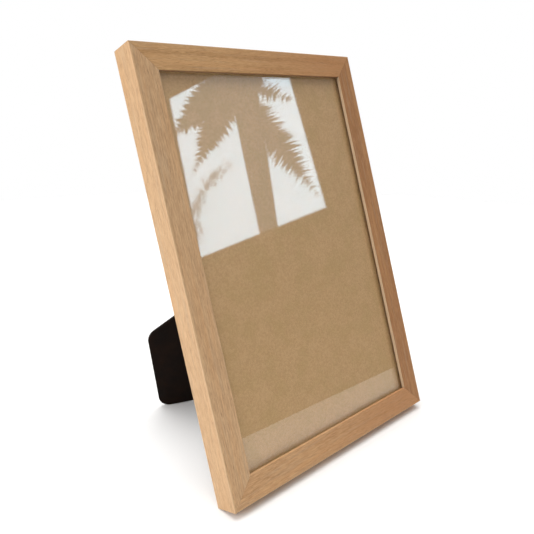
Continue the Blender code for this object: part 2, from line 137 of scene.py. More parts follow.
class Wire:
    """One output socket of a node, on which arithmetic adds Math nodes."""

    def __init__(self, net, socket):
        self.net, self.socket = net, socket

    def out(self, key):
        return Wire(self.net, socket_named(self.socket.node.outputs, key))

    def __add__(self, other):
        return self.net.math("ADD", self, other)

    def __sub__(self, other):
        return self.net.math("SUBTRACT", self, other)

    def __rsub__(self, other):
        return self.net.math("SUBTRACT", other, self)

    def __mul__(self, other):
        return self.net.math("MULTIPLY", self, other)

    def __truediv__(self, other):
        return self.net.math("DIVIDE", self, other)

    def __pow__(self, other):
        return self.net.math("POWER", self, other)

    def __abs__(self):
        return self.net.math("ABSOLUTE", self)

    __radd__, __rmul__ = __add__, __mul__


class Net:
    """A node tree that is being drawn up."""

    def __init__(self, tree):
        self.tree = tree

    def node(self, kind, settings=None, inputs=None, out=0):
        made = self.tree.nodes.new(kind)
        for name, value in (settings or {}).items():
            setattr(made, name, value)
        for key, value in (inputs or {}).items():
            socket = socket_named(made.inputs, key)
            for one in value if isinstance(value, list) else [value]:
                if isinstance(one, Wire):
                    self.tree.links.new(one.socket, socket)
                elif socket.type == "RGBA":
                    socket.default_value = (*one, 1)
                else:
                    socket.default_value = one
        return Wire(self, socket_named(made.outputs, out)) if made.outputs else None

    def math(self, how, *terms):
        return self.node("ShaderNodeMath", {"operation": how}, dict(enumerate(terms)))

    def vector(self, how, *terms):
        return self.node("ShaderNodeVectorMath", {"operation": how}, dict(enumerate(terms)))

    def xyz(self, x=0.0, y=0.0, z=0.0):
        return self.node("ShaderNodeCombineXYZ", None, {0: x, 1: y, 2: z})

    def parts(self, vector):
        split = self.node("ShaderNodeSeparateXYZ", None, {0: vector})
        return split, split.out(1), split.out(2)

    def ease(self, value, low, high):
        """0 up to low, 1 from high on, and a smooth step between them. It falls if low is above high."""
        inputs = {"Value": value, "From Min": low, "From Max": high}
        return self.node("ShaderNodeMapRange", {"interpolation_type": "SMOOTHSTEP"}, inputs, "Result")

    def blend(self, mask, one, two, how="MIX"):
        settings = {"data_type": "RGBA", "blend_type": how}
        return self.node("ShaderNodeMix", settings, {"Factor": mask, "A": one, "B": two}, "Result")

    def noise(self, place, detail=2.0, roughness=0.5, scale=1.0):
        inputs = {"Vector": place, "Scale": scale, "Detail": detail, "Roughness": roughness}
        return self.node("ShaderNodeTexNoise", {"noise_dimensions": "3D"}, inputs, "Fac")

    def bump(self, height, strength, deep):
        """The normal of a surface whose height changes by up to `deep` metres."""
        inputs = {"Strength": strength, "Distance": deep, "Height": height}
        return self.node("ShaderNodeBump", None, inputs, "Normal")


def finish_named(name):
    """A new material with its net and its Principled shader."""
    material = bpy.data.materials.new(name)
    material.use_nodes = True
    return material, Net(material.node_tree), material.node_tree.nodes["Principled BSDF"]


def feed(net, shader, **values):
    """Sets or links sockets of a shader. Base_Color stands for the socket named Base Color."""
    for key, value in values.items():
        socket = shader.inputs[key.replace("_", " ")]
        if isinstance(value, Wire):
            net.tree.links.new(value.socket, socket)
        else:
            socket.default_value = value


print("net ready")

# %% [markdown]
# ## The studio
# A pale table top stands in a plain room. The room is dim at eye level and brighter towards the rear
# and the ceiling, so that the wood and the glass have a soft change of light to show. The camera sees
# plain white in its place.

# %% Table and room
FLOOR_RADIUS, FLOOR_SIDES = 1.3, 96


def written(builder, mesh):
    """Writes a bmesh into a mesh and lets the bmesh go."""
    builder.to_mesh(mesh)
    builder.free()
    return mesh


builder = bmesh.new()
bmesh.ops.create_circle(builder, cap_ends=True, segments=FLOOR_SIDES, radius=FLOOR_RADIUS)
table_top = linked("table_top", written(builder, bpy.data.meshes.new("table_top")))
paper, net, shader = finish_named("white_table")
cloud = net.noise(net.node("ShaderNodeTexCoord", out="Object"), 3, scale=9)
feed(net, shader, Base_Color=net.blend(cloud, (0.90, 0.90, 0.895), (0.92, 0.92, 0.915)), Roughness=0.8)
table_top.data.materials.append(paper)

WALL_LIGHT, DOME_LIGHT, REAR_LIGHT, ZENITH_LIGHT, SEEN_WHITE = 0.05, 0.40, 0.45, 1.40, 1.0
room = bpy.data.worlds.new("room")
room.use_nodes = True
bpy.context.scene.world = room
net = Net(room.node_tree)
_, behind, height = net.parts(net.node("ShaderNodeTexCoord", out="Generated"))
dome = net.ease(height, 0.05, 0.8) * (DOME_LIGHT - WALL_LIGHT) + WALL_LIGHT
dome = dome + net.ease(behind, -0.1, 0.6) * REAR_LIGHT + net.ease(height, 0.72, 0.88) * ZENITH_LIGHT
seen = net.node("ShaderNodeLightPath", out="Is Camera Ray")
backdrop = room.node_tree.nodes["Background"]
feed(net, backdrop, Color=(1, 1, 1, 1), Strength=dome + seen * (SEEN_WHITE - dome))
print("table top and room ready")

# %% [markdown]
# ## Soft lights
# The window light stands where the glass mirrors it towards the camera. It is kept out of diffuse
# light, so it shows in the glass and on metal but does not light the wood. A side light is for the left
# side of the frame, a warm one beside the camera is for its face, and a wide one above softens the
# shadow on the table.

# %% Lights
# Each row is a name, a place, the directions of its width and height, both sizes, watts and a colour.
LIGHTS = (
    ("window_light", (0.9455, -0.9723, 0.8402), (0.4782, 0.8670, -0.1402), (0.2325, 0.0289, 0.9722),
     (0.452, 0.637), 6.4, (0.65, 0.85, 1.0)),
    ("side_light", (-1.25, 0.22, 0.62), (-0.173, -0.985, 0), (0.33, -0.058, 0.942),
     (0.9, 0.9), 8.8, (0.97, 0.97, 1.0)),
    ("front_light", (-1.20, -1.42, 1.0), (0.764, -0.645, 0), (0.266, 0.315, 0.911),
     (0.9, 0.9), 4.2, (1.0, 0.84, 0.68)),
    ("top_light", (0.0, 0.35, 1.6), (1, 0, 0), (0, 0.976, 0.22), (1.4, 1.4), 11, (1.0, 0.99, 0.97)),
)


def soft_light(name, place, right, up, sizes, watts, colour):
    """A rectangular light whose front is turned to the right x up side."""
    light = bpy.data.lights.new(name, "AREA")
    light.shape, (light.size, light.size_y) = "RECTANGLE", sizes
    light.energy, light.color = watts, colour
    made = linked(name, light)
    right, up = Vector(right).normalized(), Vector(up).normalized()
    turned = Matrix((right, up, right.cross(up))).transposed().to_4x4()
    made.matrix_world = Matrix.Translation(place) @ turned
    return made


window_light, *_ = [soft_light(*row) for row in LIGHTS]
window_light.visible_diffuse = False
print("lights", [row[0] for row in LIGHTS])

# %% [markdown]
# ## The palm outside the window
# The glass mirrors a window with a palm in front of it. No leaf needs a mesh: the light's own nodes
# read the place on its surface, from 0 to 1 across and up, and dim it where the palm stands in the way.
# The trunk is a band, the crown a ragged round, and each frond a tapering strip with a comb of leaflets.

# %% Palm shade
window_light.data.use_nodes = True
net = Net(window_light.data.node_tree)
run, rise, _ = net.parts(net.node("ShaderNodeNewGeometry", out="Parametric"))
WINDOW_SHAPE = 0.71     # width to height
SHADE_DEPTH, DRY_DEPTH, RIM = 0.9, 0.8, 0.02
TRUNK_AT, TRUNK_LEAN, TRUNK_TAPER, TRUNK_EDGE, TRUNK_TOP = 0.56, 0.09, 0.05, (0.078, 0.064), (0.90, 0.80)
# Each clump is its centre, its least radius, how ragged and how feathery it is, and its ring's radius.
CROWN, DRY_FROND = ((0.57, 0.90), 0.06, 0.26, 0.30), ((0.42, 0.12), -0.05, 0.15, 0.30, 0.31)
# Each frond is its root, its tip and its half width.
FRONDS = (((0.66, 0.68), (0.99, 0.02), 0.085), ((0.62, 0.86), (1.04, 0.58), 0.06),
          ((0.57, 0.92), (-0.10, 0.74), 0.15), ((0.54, 0.86), (0.06, 0.46), 0.125))


def clump(centre, least, ragged, feather, ring=0.0):
    """1 inside a ragged clump of leaves about a centre, or along a ring about it, and 0 outside."""
    x, y = (run - centre[0]) * WINDOW_SHAPE, rise - centre[1]
    far = net.math("SQRT", x * x + y * y)
    edge = net.noise(net.xyz(x / far * 2.2, y / far * 2.2, 0.0), 2) * ragged + least
    fringe = (net.noise(net.xyz(run * 44, rise * 20, 2.0), 4, 0.75) - 0.5) * feather
    return net.ease(abs(far - ring) - edge + fringe, 0.03, -0.03)


def frond(root, tip, half):
    """1 along a palm frond from its root to its tip, with a comb of leaflets along both sides."""
    ahead, up = (tip[0] - root[0]) * WINDOW_SHAPE, tip[1] - root[1]
    long = math.hypot(ahead, up)
    x, y = (run - root[0]) * WINDOW_SHAPE, rise - root[1]
    along = (x * ahead + y * up) / long ** 2
    off = abs((x * up - y * ahead) / long)
    leaflets = net.xyz(along * long * 75 - off * 40, off * 6, root[1] * 9)
    comb = (net.noise(leaflets, 3, 0.6) - 0.5) * 0.19
    inside = net.ease(off - net.ease(along, 1.08, 0.35) * half + comb + 0.022, 0.018, -0.018)
    return inside * net.ease(along, -0.06, 0.04) * net.ease(along, 1.1, 1.0)


trunk_off = abs(run - TRUNK_AT - rise * TRUNK_LEAN) - rise * TRUNK_TAPER
shade = net.ease(trunk_off, *TRUNK_EDGE) * net.ease(rise, *TRUNK_TOP)
dry_frond = clump(*DRY_FROND) * net.ease(run, 0.44, 0.34) * net.ease(rise, 0.06, 0.14) * DRY_DEPTH
for part in (clump(*CROWN), *(frond(*row) for row in FRONDS), dry_frond):
    shade = net.math("MAXIMUM", shade, part)
rim = net.math("MINIMUM", net.math("MINIMUM", run, 1 - run), net.math("MINIMUM", rise, 1 - rise))
glow = window_light.data.node_tree.nodes["Emission"]
feed(net, glow, Color=(1, 1, 1, 1), Strength=(1 - shade * SHADE_DEPTH) * net.ease(rim, 0.0, RIM))
print("palm of", len(FRONDS), "fronds")

# %% [markdown]
# ## Making meshes
# A Geometry Nodes tree is a recipe. `recipe` starts one with named sizes, and `grow` runs it on a small
# starting mesh and keeps the result as a plain mesh. `place_piece` then puts the mesh where it belongs,
# welds it, turns its faces outwards, breaks its sharp edges and hands it to its body.

# %% Recipes
SOCKETS = {int: "NodeSocketInt", float: "NodeSocketFloat", tuple: "NodeSocketVector"}
WELD = 0.002 * MM


def recipe(name, material, **sizes):
    """(net, geometry in, the named sizes as wires, a function that ends the tree)."""
    group = bpy.data.node_groups.new(name, "GeometryNodeTree")
    group.interface.new_socket("Geometry", in_out="INPUT", socket_type="NodeSocketGeometry")
    for label, value in sizes.items():
        socket = group.interface.new_socket(label, in_out="INPUT", socket_type=SOCKETS[type(value)])
        socket.default_value = value
    group.interface.new_socket("Geometry", in_out="OUTPUT", socket_type="NodeSocketGeometry")
    net = Net(group)
    start = net.node("NodeGroupInput")
    wires = {label: start.out(label) for label in sizes}

    def end(shape):
        shape = net.node("GeometryNodeRealizeInstances", None, {0: shape})
        shape = net.node("GeometryNodeSetMaterial", None, {"Geometry": shape, "Material": material})
        group.links.new(shape.socket, group.nodes.new("NodeGroupOutput").inputs[0])
        return group

    return net, start, wires, end


def grid_of(net, columns, rows):
    """A flat grid that is one metre square about the origin."""
    inputs = {"Size X": 1.0, "Size Y": 1.0, "Vertices X": columns, "Vertices Y": rows}
    return net.node("GeometryNodeMeshGrid", None, inputs, "Mesh")


def moved(shape, place):
    """The shape with its points sent to `place`."""
    return shape.net.node("GeometryNodeSetPosition", None, {"Geometry": shape, "Position": place})


def joined(*shapes):
    return shapes[0].net.node("GeometryNodeJoinGeometry", None, {0: list(shapes)})


def thickened(sheet, thick):
    """A closed plate: the sheet, its copy `thick` further along y, and the walls between them."""
    inputs = {"Mesh": sheet, "Offset": sheet.net.xyz(0, 1, 0), "Offset Scale": thick, "Individual": False}
    return joined(sheet.net.node("GeometryNodeExtrudeMesh", None, inputs, "Mesh"), sheet)


def row_of(net, count, first, step):
    """Points along x, a step apart."""
    inputs = {"Count": count, "Start Location": net.xyz(first, 0, 0), "Offset": net.xyz(step, 0, 0)}
    return net.node("GeometryNodeMeshLine", None, inputs, "Mesh")


def copies(points, shape, **more):
    """The shape on each of the points."""
    inputs = {"Points": points, "Instance": shape, **more}
    return points.net.node("GeometryNodeInstanceOnPoints", None, inputs)


def section_point(net, start, index):
    """The place of one point of the starting mesh."""
    inputs = {"Geometry": start, "Value": net.node("GeometryNodeInputPosition"), "Index": index}
    return net.node("GeometryNodeSampleIndex", {"data_type": "FLOAT_VECTOR"}, inputs, "Value")


def corner_drop(net, past, radius):
    """How far a rounded corner has dropped at a distance past its start."""
    past = net.math("MAXIMUM", past, 0.0)
    return radius - net.math("SQRT", net.math("MAXIMUM", radius ** 2 - past * past, 0.0))


print("recipe helpers ready")

# %% Growing and placing
def kept_mesh(holder, name):
    """The evaluated mesh of an object as plain data. The object and its modifiers go."""
    bpy.context.view_layer.update()
    graph = bpy.context.evaluated_depsgraph_get()
    mesh = bpy.data.meshes.new_from_object(holder.evaluated_get(graph))
    mesh.name = name
    bpy.data.objects.remove(holder)
    return mesh


def grow(group, seed, **sizes):
    """Runs a recipe on a starting mesh and gives the plain mesh that it makes."""
    holder = linked("growing", seed)
    step = holder.modifiers.new("recipe", "NODES")
    step.node_group = group
    for item in group.interface.items_tree:
        if item.in_out == "INPUT" and item.name in sizes:
            step[item.identifier] = sizes[item.name]
    return kept_mesh(holder, group.name)


def face_of(points):
    """A mesh of one face. With no points it is empty."""
    mesh = bpy.data.meshes.new("outline")
    mesh.from_pydata([tuple(p) for p in points], [], [list(range(len(points)))] if points else [])
    return mesh


def reworked(mesh, change):
    """Opens a mesh, runs a change on it and writes it back."""
    builder = bmesh.new()
    builder.from_mesh(mesh)
    change(builder)
    return written(builder, mesh)


def close_up(builder):
    """Welds double points and turns every face outwards."""
    bmesh.ops.remove_doubles(builder, verts=builder.verts, dist=WELD)
    bmesh.ops.recalc_face_normals(builder, faces=builder.faces)


def keep_own_place(mesh, back):
    """Stores each point's place in the piece's own axes, in millimetres, for its finish to read."""
    own = mesh.attributes.new("own", "FLOAT_VECTOR", "POINT")
    own.data.foreach_set("vector", [c / MM for v in mesh.vertices for c in back @ v.co])


def place_piece(name, mesh, place, body, stands_for, edge=0.15, steps=2, cutter=None, break_at=40):
    """Finishes a piece: place, bevel of `edge` millimetres, even shading, body, slot and nodes."""
    mesh.transform(place)
    reworked(mesh, close_up)
    mesh.shade_smooth()
    holder = linked(name + "_rough", mesh)
    if edge:
        bevel = holder.modifiers.new("edges", "BEVEL")
        bevel.width, bevel.segments = edge * MM, steps
        bevel.limit_method, bevel.angle_limit = "ANGLE", math.radians(break_at)
    if cutter:
        cut = holder.modifiers.new("slots", "BOOLEAN")
        cut.operation, cut.solver, cut.object = "DIFFERENCE", "EXACT", cutter
    even = holder.modifiers.new("even shading", "WEIGHTED_NORMAL")
    even.keep_sharp = True
    made = linked(name, kept_mesh(holder, name))
    keep_own_place(made.data, place.inverted())
    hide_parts(*stands_for)
    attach(made, body)
    print(f"{name}: {len(made.data.polygons)} faces on {body}")
    return made


def own_place(net):
    """The place that keep_own_place stored, for a finish."""
    return net.node("ShaderNodeAttribute", {"attribute_name": "own"}, out="Vector")


print("piece helpers ready")

# %% Outlines
def arc(centre, radius, start, end, steps):
    turns = (start + (end - start) * i / steps for i in range(steps + 1))
    return [(centre[0] + radius * math.cos(t), centre[1] + radius * math.sin(t)) for t in turns]


def rounded(corners, radii, steps=8):
    """A closed outline in which each corner is an arc of its radius."""
    points = []
    for i, (corner_at, radius) in enumerate(zip(corners, radii)):
        here = Vector(corner_at)
        back = (Vector(corners[i - 1]) - here).normalized()
        ahead = (Vector(corners[(i + 1) % len(corners)]) - here).normalized()
        half = back.angle(ahead) / 2
        centre = here + (back + ahead).normalized() * (radius / math.sin(half))
        start = here + back * (radius / math.tan(half)) - centre
        end = here + ahead * (radius / math.tan(half)) - centre
        first = math.atan2(start.y, start.x)
        sweep = math.atan2(start.x * end.y - start.y * end.x, start.dot(end))
        points += arc(centre, radius, first, first + sweep, steps)
    return points


def slab(front, behind):
    """A plate between two outlines with the same number of points."""
    builder = bmesh.new()
    front, behind = ([builder.verts.new(p) for p in points] for points in (front, behind))
    builder.faces.new(front)
    builder.faces.new(list(reversed(behind)))
    for i in range(len(front)):
        j = (i + 1) % len(front)
        builder.faces.new((front[i], front[j], behind[j], behind[i]))
    return written(builder, bpy.data.meshes.new("plate"))


print("outline helpers ready")

# %% [markdown]
# ## Oak finish
# The moulding is oak with a thin clear satin coat. Oak shows three things at once: growth rings, cut
# lengthways into long streaks; pores, which are short dark dashes along the grain; and slow drifts
# between a greyer and a more orange tan. All three are drawn in the rail's own axes, so the grain runs
# along each rail and turns the corner at the mitre. A thin dark glue line marks the mitre, and the outer
# edge is a little paler where hands wear it. Some light and shade is painted into the colour as well: a
# dark line of painted shade where the lip meets the glass, painted shade on the top rail's lip and a
# painted highlight on the right rail's lip, and painted shade that makes the right rail and the right
# ends of the top and bottom rails darker and redder, where the light falls off.

# %% Oak
# Two of these colours are painted shade: the darker red tan at the end of the first row, for where the light falls
# off towards the frame's right, and the darkest brown at the end of the second row, for the gap at the glass and
# the top rail's lip.
GREY_TAN, ORANGE_TAN, PAINTED_FALLOFF_SHADE = (0.43, 0.335, 0.235), (0.62, 0.335, 0.145), (0.44, 0.195, 0.078)
PORE, GLUE, PAINTED_SHADE_BROWN = (0.22, 0.12, 0.058), (0.17, 0.095, 0.05), (0.060, 0.026, 0.012)
WORN = (0.75, 0.56, 0.36)


def oak_finish(name, light, dark, shift, pith, pitch, figure=0.14, falloff_shade=0, lip=0.0, lip_shading_tone=PAINTED_SHADE_BROWN):
    """Oak sawn from its own part of a plank. pith is the ring centre's (depth, inward) in millimetres."""
    # The last three arguments paint light and shade: shade that darkens and reddens the rail towards the frame's
    # right end, where the light falls off, and how much and in what colour the lip's face is painted darker or
    # lighter for the way light falls on it.
    material, net, shader = finish_named(name)
    own = own_place(net)
    along, deep, inward = net.parts(net.vector("ADD", own, shift))
    own_along, own_deep, own_inward = net.parts(own)

    def fibres(length, thick, detail=3.0, roughness=0.6):
        return net.noise(net.xyz(along / length, deep / thick, inward / thick), detail, roughness)

    wander = (fibres(95, 45, 1.0, 0.4) - 0.5) * 16
    across, through = own_inward + wander - pith[1], own_deep - pith[0] + wander * 0.4
    radius = net.math("SQRT", across * across + through * through)
    year = radius / pitch + (fibres(40, 3.0) - 0.5) * 0.9
    phase = net.math("FRACT", year)
    early = net.ease(phase, 0.42, 0.0) + net.ease(phase, 0.86, 1.0)

    streak = fibres(60, 1.9, 3.0)
    fleck = fibres(8.5, 0.42, 3.0, 0.6)
    fine = fibres(6.0, 0.24, 2.0, 0.6)
    pores = net.ease(fibres(4.5, 0.30, 2.0, 0.5), 0.56, 0.68) * (early * 0.5 + 0.5)
    grey = net.ease(fibres(46, 2.6, 2.0), 0.50, 0.70)
    warm = net.ease(fibres(110, 6.0, 2.0), 0.45, 0.75)

    tone = early * figure + (streak - 0.5) * 0.6 + (fleck - 0.5) * 2.3 + (fine - 0.5) * 1.3 + 0.45
    colour = net.blend(net.math("MINIMUM", net.math("MAXIMUM", tone, 0.0), 1.0), light, dark)
    colour = net.blend(grey * 0.24, colour, GREY_TAN)
    colour = net.blend(warm * 0.30, colour, ORANGE_TAN)
    # Painted shade: the rail darkens and reddens towards the frame's right end, where the light falls off.
    if falloff_shade:
        colour = net.blend(net.ease(own_along * falloff_shade, -60, 110) * 0.60, colour, PAINTED_FALLOFF_SHADE)
    colour = net.blend(pores * 0.62, colour, PORE)

    mitre = net.node("ShaderNodeAttribute", {"attribute_name": "mitre"}, out="Fac")
    glue = net.ease(mitre, 0.26, 0.08)
    colour = net.blend(glue * 0.16, colour, GLUE)
    # Painted light and shade on the lip's inner face, set per rail: shade under the top rail's lip and a highlight
    # on the right rail's lip. Then a dark line of painted shade where the lip meets the glass, on every rail.
    lip_face = net.ease(own_inward, FACE / MM - 0.35, FACE / MM - 0.05)
    colour = net.blend(lip_face * lip, colour, lip_shading_tone)
    glass_gap_shade = net.ease(own_deep, LIP / MM - 0.5, LIP / MM - 0.2)
    colour = net.blend(lip_face * glass_gap_shade * 0.75, colour, PAINTED_SHADE_BROWN)
    worn = net.ease(own_inward + own_deep, 1.5, 0.4)
    colour = net.blend(worn * 0.22, colour, WORN)

    relief = net.bump(fine * 0.5 + fleck * 0.35 - pores - glue, 0.35, 0.12 * MM)
    feed(net, shader, Base_Color=colour, Roughness=0.56 + pores * 0.2 - (fine - 0.5) * 0.22, Normal=relief,
         Specular_IOR_Level=0.16)
    return material


# These rows paint light and shade too: the top and bottom rails turn darker towards the frame's right end and the
# right rail is darker all over, as painted shade where the light falls off; the top rail's lip gets painted shade
# and the right rail's lip a painted highlight.
OAK = {
    "bottom": oak_finish("oak_bottom", (0.63, 0.395, 0.208), (0.41, 0.217, 0.095), (410, 31, 12), (24, -34),
                         2.5, falloff_shade=1),
    "left": oak_finish("oak_left", (0.65, 0.43, 0.245), (0.43, 0.262, 0.135), (0, 77, 5), (26, 60), 2.2),
    "top": oak_finish("oak_top", (0.63, 0.39, 0.19), (0.41, 0.225, 0.094), (920, 13, 44), (-38, 22), 3.4,
                      figure=0.34, falloff_shade=-1, lip=0.6),
    "right": oak_finish("oak_right", (0.455, 0.232, 0.104), (0.285, 0.13, 0.052), (1370, 52, 29), (30, -48),
                        2.3, lip=0.8, lip_shading_tone=(0.66, 0.50, 0.33)),
}
print("oak finishes", list(OAK))

# %% [markdown]
# ## Other finishes
# Zinc and steel are metals whose colour hardly changes but whose roughness does: rolling leaves fine
# lines along the strip, and handling leaves dull patches. The leg and the back of the board are covered
# in black paper with a fibrous tooth. The front of the board is bare fibreboard, a felt of brown fibres.

# %% Metal finish
def metal_finish(name, bright, dull, roughness, lines=26.0):
    """Rolled or drawn metal: lines `lines` millimetres long along x, dull patches and small specks."""
    material, net, shader = finish_named(name)
    own = own_place(net)
    rolled = net.noise(net.vector("MULTIPLY", own, (1 / lines, 2.2, 2.2)), 3, 0.6)
    patch = net.noise(own, 3, 0.6, 1 / 5)
    speck = net.ease(net.noise(own, 2, scale=1.6), 0.62, 0.74)
    colour = net.blend(net.ease(patch, 0.3, 0.75), bright, dull)
    colour = net.blend(speck * 0.35, colour, tuple(c * 0.55 for c in dull))
    feed(net, shader, Base_Color=colour, Metallic=1.0, Normal=net.bump(rolled, 0.25, 0.05 * MM),
         Roughness=roughness + (rolled - 0.5) * 0.22 + (patch - 0.5) * 0.25 + speck * 0.15)
    return material


zinc = metal_finish("zinc_plate", (0.54, 0.55, 0.55), (0.40, 0.41, 0.41), 0.36)
wire_steel = metal_finish("drawn_wire", (0.62, 0.62, 0.61), (0.46, 0.46, 0.45), 0.30, 4.0)
spring_steel = metal_finish("spring_steel", (0.42, 0.43, 0.44), (0.29, 0.30, 0.31), 0.38)
strip_steel = metal_finish("strip_steel", (0.50, 0.50, 0.49), (0.32, 0.31, 0.30), 0.40)
brass = metal_finish("brass_plate", (0.60, 0.44, 0.21), (0.42, 0.295, 0.13), 0.34)
aged_brass = metal_finish("aged_brass", (0.40, 0.28, 0.13), (0.25, 0.17, 0.08), 0.42)
print("metals ready")

# %% Black paper and fibreboard
PALE_FIBRE, SHIVE = (0.66, 0.48, 0.27), (0.25, 0.13, 0.055)


def black_paper_finish(name, black, brown, gloss):
    """Paper-faced board: faint brown clouds, loose hairs and a fine tooth."""
    material, net, shader = finish_named(name)
    own = own_place(net)
    cloud = net.noise(own, 4, 0.55, 1 / 14)
    tooth = net.noise(own, 3, 0.6, 2.4)
    felt = net.noise(net.vector("MULTIPLY", own, (1 / 2.2, 1, 1 / 1.1)), 3, 0.7)
    hair = net.ease(abs(felt - 0.5), 0.035, 0.0)
    colour = net.blend(net.ease(cloud, 0.3, 0.8), black, brown)
    colour = net.blend(hair * 0.25, colour, tuple(c * 2.6 for c in brown))
    feed(net, shader, Base_Color=colour, Roughness=0.50 + (cloud - 0.5) * 0.25 + tooth * 0.12,
         Normal=net.bump(tooth + hair, 0.4, 0.1 * MM), Specular_IOR_Level=gloss)
    return material


def fibreboard_finish(name, light, dark):
    """Pressed wood fibres: soft clouds, short fibres lying every way, and darker shives."""
    material, net, shader = finish_named(name)
    own = own_place(net)
    x, y, z = net.parts(own)
    bend = (net.noise(own, 2, scale=1 / 7) - 0.5) * 5
    cloud = net.noise(own, 4, 0.6, 1 / 17)
    mottle = net.noise(own, 4, 0.66, 1 / 1.7)

    def strands(cos, sin, length, thick):
        run, side = x * cos + z * sin + bend, z * cos - x * sin + bend
        felt = net.noise(net.xyz(run / length, y, side / thick), 2)
        return net.ease(abs(felt - 0.5), 0.030, 0.0)

    hairs = strands(0.96, 0.26, 6.0, 1.3) * 0.5 + strands(-0.42, 0.91, 5.0, 1.1) * 0.5
    shives = net.ease(net.noise(net.xyz(x / 1.7 + bend, y / 1.2, z / 1.1), 3, 0.6), 0.66, 0.76)
    olive = tuple(c * share for c, share in zip(light, (0.83, 0.90, 0.72)))
    colour = net.blend(net.ease(cloud * 0.25 + mottle * 0.75, 0.36, 0.64), light, dark)
    colour = net.blend(net.ease(cloud, 0.40, 0.66) * 0.30, colour, olive)
    colour = net.blend(hairs * 0.20, colour, PALE_FIBRE)
    colour = net.blend(shives * 0.34, colour, SHIVE)
    feed(net, shader, Base_Color=colour, Roughness=0.62 + (mottle - 0.5) * 0.3,
         Normal=net.bump(hairs + mottle, 0.3, 0.1 * MM))
    return material


black_leg = black_paper_finish("black_leg_paper", (0.0042, 0.0018, 0.0010), (0.0110, 0.0046, 0.0022), 0.07)
black_back = black_paper_finish("black_back_paper", (0.012, 0.011, 0.011), (0.024, 0.021, 0.019), 0.18)
bare_board = fibreboard_finish("bare_fibreboard", (0.62, 0.405, 0.200), (0.53, 0.332, 0.152))
core_edge = fibreboard_finish("cut_fibreboard", (0.36, 0.235, 0.12), (0.24, 0.145, 0.07))
print("papers and boards ready")

# %% [markdown]
# ## Glass finish
# Thin flat glass hardly bends what is seen through it, so it needs no refraction, which would also keep
# the lamps' light off the board. It is a mirror that is nearly all see-through: 4 percent head on and
# more at a slant, which is the fifth power in the formula. A faint haze of dust roughens the mirror.

# %% Glass
HEAD_ON = 0.043
glass_clear, net, shader = finish_named("clear_glass")
own = own_place(net)
slant = net.node("ShaderNodeLayerWeight", None, {"Blend": 0.5}, "Facing")
smear = net.noise(net.vector("MULTIPLY", own, (0.012, 0.012, 0.02)), 3, 0.55)
dust = net.ease(net.noise(own, 2, scale=0.9), 0.66, 0.78)
mirrored = HEAD_ON + slant ** 5 * (1 - HEAD_ON)
feed(net, shader, Base_Color=net.blend(smear, (0.97, 0.985, 0.98), (0.99, 0.995, 0.99)), Metallic=1.0,
     Roughness=net.ease(smear, 0.45, 0.8) * 0.02 + dust * 0.05 + 0.008, Alpha=mirrored + dust * 0.003)
print("glass ready")

# %% [markdown]
# ## The moulding
# The four rails are one moulding, cut at 45 degrees and joined. Its section is a rounded-off square with
# a step cut out of the inner back, the rebate, which holds the glass and the board behind a thin lip.
# A mitred stick follows a simple rule, so Geometry Nodes draw it: each row of a grid is a copy of the
# section, and every point stops short of the corner by as much as it lies inwards.

# %% Section and recipe
EASED, CRISP = 0.5 * MM, 0.2 * MM


def moulding_section():
    """The section as (inward, depth), with the edges that a hand touches eased."""
    turn = math.pi / 2
    points = arc((EASED, EASED), EASED, turn * 2, turn * 3, 6)
    points += arc((FACE - EASED, EASED), EASED, turn * 3, turn * 4, 6)
    points += arc((FACE - CRISP, LIP - CRISP), CRISP, 0, turn, 3)
    points += [(WALL, LIP)]
    points += arc((WALL - CRISP, DEPTH - CRISP), CRISP, 0, turn, 3)
    points += arc((EASED, DEPTH - EASED), EASED, turn, turn * 2, 6)
    return points


def mitred_stick(material):
    """Grid rows along the rail, sections round it, both ends cut at 45 degrees."""
    net, start, size, end = recipe("mitred_stick", material, Length=0.2, Gap=0.0001, Rows=9, Around=8)
    rows, around = size["Rows"], size["Around"]

    def cut_to(share, point):
        _, depth, inward = net.parts(point)
        reach = size["Length"] * 0.5 - inward - size["Gap"] * math.sqrt(0.5)
        return net.xyz(share * reach, depth, inward)

    index = net.node("GeometryNodeInputIndex")
    row = net.math("FLOOR", (index + 0.5) / (around + 1))
    section = section_point(net, start, net.math("MODULO", index - row * (around + 1), around))
    sides = moved(grid_of(net, rows, around + 1), cut_to(row / (rows - 1) * 2 - 1, section))
    shape_at = net.node("GeometryNodeInputPosition")
    return end(joined(sides, *(moved(start, cut_to(side, shape_at)) for side in (-1.0, 1.0))))


TURNS = {side: math.radians(90 * i) for i, side in enumerate(RAILS)}
LENGTHS = {"bottom": WIDTH, "left": HEIGHT, "top": WIDTH, "right": HEIGHT}


def rail_place(side):
    """Bottom-rail axes (x along, y depth, z inward) to the room, for the rail on that side."""
    opposite = HEIGHT if LENGTHS[side] == WIDTH else WIDTH
    middle = Matrix.Translation((0, 0, HEIGHT / 2))
    return stand @ middle @ Matrix.Rotation(TURNS[side], 4, "Y") @ Matrix.Translation((0, 0, -opposite / 2))


section_points = moulding_section()
print("section of", len(section_points), "points")

# %% [markdown]
# ## V-nails
# Each mitre is held by two V-nails pressed in from behind: a bent strip whose legs reach into both
# rails. They repeat at four corners, so a recipe sets one strip on eight points. The same recipe with a
# thicker strip makes the slots that the nails sit in.

# %% V-nail recipe
CORNERS, RINGS = 4, 2
NAIL_LEG, NAIL_THICK, NAIL_DEEP, NAIL_SUNK = 4.2 * MM, 0.45 * MM, 7.0 * MM, 0.2 * MM
NAIL_FIRST, NAIL_STEP, NAIL_SPREAD = 5.5 * MM, 5.5 * MM, math.radians(62)
NAIL_FRONT = DEPTH - NAIL_DEEP - NAIL_SUNK
SLOT_WIDER, SLOT_LONGER, SLOT_PAST = 0.16 * MM, 0.1 * MM, 2 * MM


